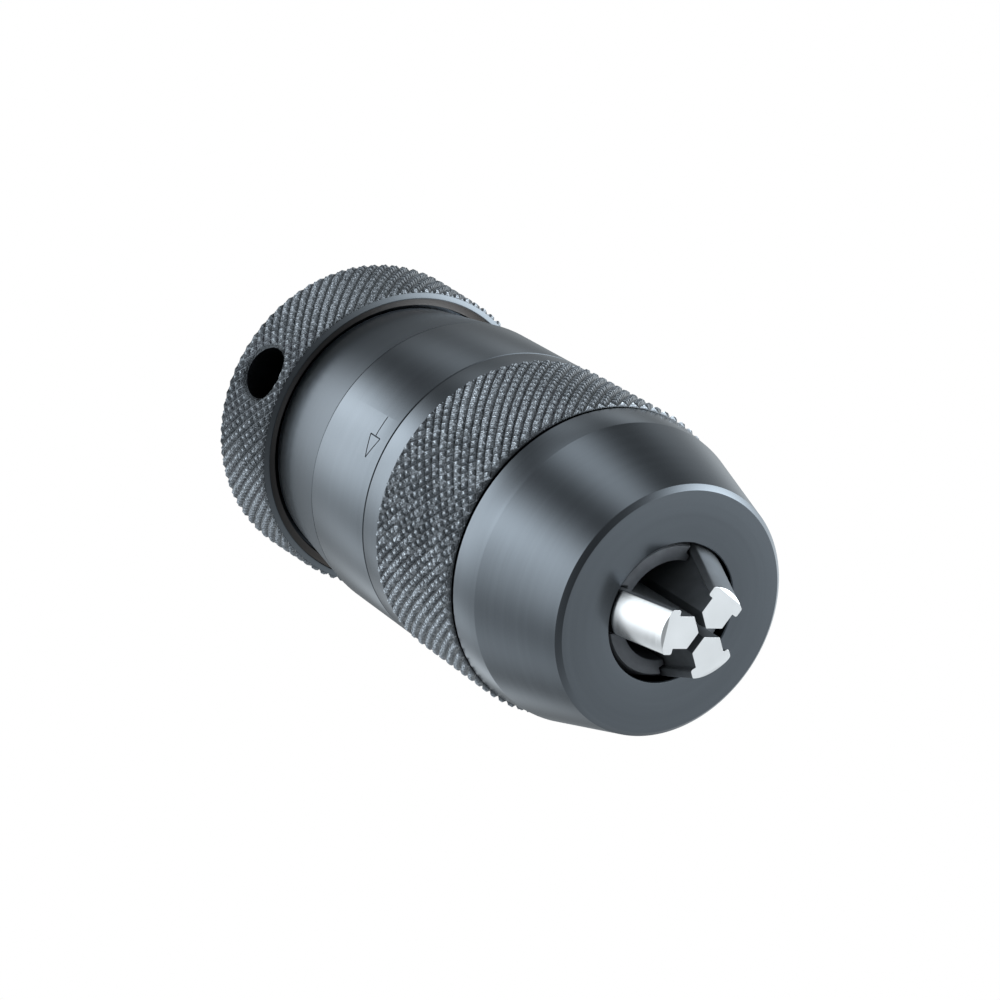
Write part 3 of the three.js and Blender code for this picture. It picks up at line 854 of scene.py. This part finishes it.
# Soft lights round the chuck: azimuth and elevation in degrees, width and strength.
SOFT_LIGHTS = {
    "key": (-130, 26, KEY, 6.2),
    "high_right": (-115, 35, SKY, 0.25),
    "high_back": (130, 28, SKY, 0.8),
    "low_back": (-165, -15, WASH, 1.3),
    "low_right": (-60, -25, PANEL, 1.5),
    "low_front": (0, -30, PANEL, 2.9),
    "low_front_left": (22, -7, WASH, 1.75),
    "low_left": (80, -30, WIDE_PANEL, 0.8),
    "under_back_right": (-115, -45, SPOT, 0.65),
    "under_right": (-80, -50, SPOT, 0.65),
    "under_front_right": (-12, -60, SPOT, 2.8),
    "under_front": (25, -55, WIDE_PANEL, 2.6),
    "under_left": (85, -50, SPOT, 0.9),
    "under_back_left": (120, -45, SPOT, 1.25),
}
ROOM_LIGHT = 0.12
LIGHT_COLOUR = (0.92, 1.0, 1.06, 1.0)


def build_light():
    """A world of soft, round lights, each fading smoothly with the angle from its middle."""
    world = bpy.data.worlds.new("studio")
    bpy.context.scene.world = world
    world.use_nodes = True
    tree = world.node_tree
    tree.nodes.clear()
    look = add_node(tree, "ShaderNodeTexCoord").outputs["Generated"]
    total = None
    for azimuth, elevation, tightness, strength in SOFT_LIGHTS.values():
        middle = direction(azimuth, elevation)
        near = add_node(
            tree, "ShaderNodeVectorMath", {0: look, 1: middle}, operation="DOT_PRODUCT").outputs[1]
        power = math_node(tree, "MULTIPLY", math_node(tree, "SUBTRACT", near, 1.0), tightness)
        glow = math_node(tree, "MULTIPLY", math_node(tree, "EXPONENT", power), strength)
        total = math_node(tree, "ADD", glow, ROOM_LIGHT if total is None else total)
    background = add_node(tree, "ShaderNodeBackground", {"Color": LIGHT_COLOUR, "Strength": total})
    add_node(tree, "ShaderNodeOutputWorld", {"Surface": background.outputs[0]})


def build_stage():
    """A plain white floor and backdrop, which only the camera sees."""
    material = bpy.data.materials.new("paper")
    material.use_nodes = True
    tree = material.node_tree
    tree.nodes.clear()
    glow = add_node(tree, "ShaderNodeEmission", {"Color": (1, 1, 1, 1), "Strength": 1.0})
    add_node(tree, "ShaderNodeOutputMaterial", {"Surface": glow.outputs[0]})
    bpy.ops.mesh.primitive_circle_add(vertices=96, radius=2, fill_type="NGON", location=(0, 0, -0.4))
    floor = bpy.context.object
    floor.name = "floor"
    bpy.ops.mesh.primitive_uv_sphere_add(segments=64, ring_count=32, radius=2.2)
    backdrop = bpy.context.object
    backdrop.name = "backdrop"
    for obj in (floor, backdrop):
        obj.data.materials.append(material)
        obj.visible_diffuse = False
        obj.visible_glossy = False
        obj.visible_transmission = False
        obj.visible_shadow = False


CAMERA_AZIMUTH = -6.0
CAMERA_ELEVATION = 51.93
CAMERA_ROLL = 122.56
CAMERA_DISTANCE = 0.4
CAMERA_HEIGHT = 0.045


def build_camera():
    data = bpy.data.cameras.new("camera")
    data.lens = 107.93
    data.shift_x = -0.0195
    data.shift_y = 0.0158
    camera = bpy.data.objects.new("camera", data)
    bpy.context.scene.collection.objects.link(camera)
    back = direction(CAMERA_AZIMUTH, CAMERA_ELEVATION)
    level = direction(CAMERA_AZIMUTH + 90, 0)
    upright = back.cross(level)
    roll = math.radians(CAMERA_ROLL)
    right = level * math.cos(roll) + upright * math.sin(roll)
    up = upright * math.cos(roll) - level * math.sin(roll)
    rotation = Matrix((right, up, back)).transposed().to_4x4()
    place = Vector((0, 0, CAMERA_HEIGHT)) + back * CAMERA_DISTANCE
    camera.matrix_world = Matrix.Translation(place) @ rotation
    bpy.context.scene.camera = camera
    bpy.context.scene.view_settings.view_transform = "Standard"


MATERIALS = make_materials()
build_body(MATERIALS)
build_snap_ring(MATERIALS)
build_ring(MATERIALS)
build_sleeve(MATERIALS)
build_nose(MATERIALS)
build_guide(MATERIALS)
for jaw_index in range(3):
    build_jaw(jaw_index, MATERIALS)
finish_inner_nodes(MATERIALS)
build_light()
build_stage()
build_camera()
